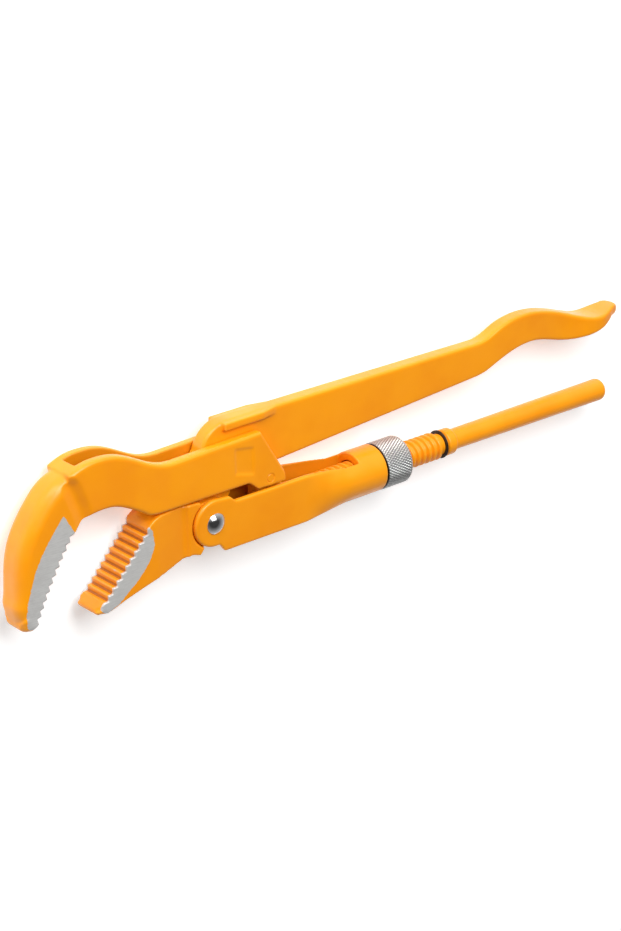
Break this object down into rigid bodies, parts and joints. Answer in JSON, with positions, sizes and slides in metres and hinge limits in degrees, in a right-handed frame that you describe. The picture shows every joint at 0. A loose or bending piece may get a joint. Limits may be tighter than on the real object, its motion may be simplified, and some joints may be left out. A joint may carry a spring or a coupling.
{
  "type": "pipe wrench",
  "caption": "Swedish-pattern pipe wrench: long handle with lower jaw, sliding toothed hook jaw, riveted fork link and threaded grip rod set by a knurled nut.",
  "frame": {"origin": "centre of the pipe held between the jaws at the rest setting, on the mid-plane of the tool's thickness", "axes": "+X along the lower grip rod from the jaws to its free end, +Y towards the long handle, +Z the tool's thickness towards the side with the size-mark recess"},
  "size_m": [0.3187, 0.0662, 0.0208],
  "materials": {
    "paint_lever": "satin orange-yellow powder coat on forged steel",
    "paint_hook": "satin orange-yellow powder coat on forged steel",
    "paint_fork": "satin orange-yellow powder coat on forged steel",
    "paint_spindle": "satin orange-yellow powder coat on steel",
    "zinc_nut": "zinc plated, diamond knurled",
    "spring_steel": "dark spring steel",
    "black_ring": "black oxide",
    "bright_rivet": "polished",
    "paint_pin": "painted over, flush"
  },
  "bodies": {
    "lever": {"lever": "paint_lever"},
    "fork": {"fork_link": "paint_fork", "pivot_rivet": "bright_rivet", "nut_clip": "spring_steel"},
    "spindle": {"spindle": "paint_spindle", "stop_ring": "black_ring"},
    "nut": {"adjusting_nut": "zinc_nut"},
    "hook": {"hook_jaw": "paint_hook", "hook_pin": "paint_pin"}
  },
  "joints": [
    {"name": "link_pivot", "type": "hinge", "parent": "lever", "child": "fork", "pos_m": [0.0545, -0.0027, 0], "axis": [0, 0, 1], "range_deg": [-3, 1.5]},
    {"name": "rod_slide", "type": "slide", "parent": "fork", "child": "spindle", "axis": [1, 0, 0], "range_m": [-0.012, 0.0265]},
    {"name": "nut_spin", "type": "hinge", "parent": "fork", "child": "nut", "pos_m": [0.1495, -0.0065, 0], "axis": [1, 0, 0], "range_deg": [-3250, 1500]},
    {"name": "hook_rock", "type": "hinge", "parent": "spindle", "child": "hook", "pos_m": [0.0825, 0.0083, 0], "axis": [0, 0, 1], "range_deg": [-0.5, 1]}
  ],
  "couplings": [
    {"joint": "nut_spin", "follows": "rod_slide", "rad_per_m": -2094.4},
    {"joint": "hook_rock", "follows": "link_pivot", "ratio": -0.25}
  ]
}
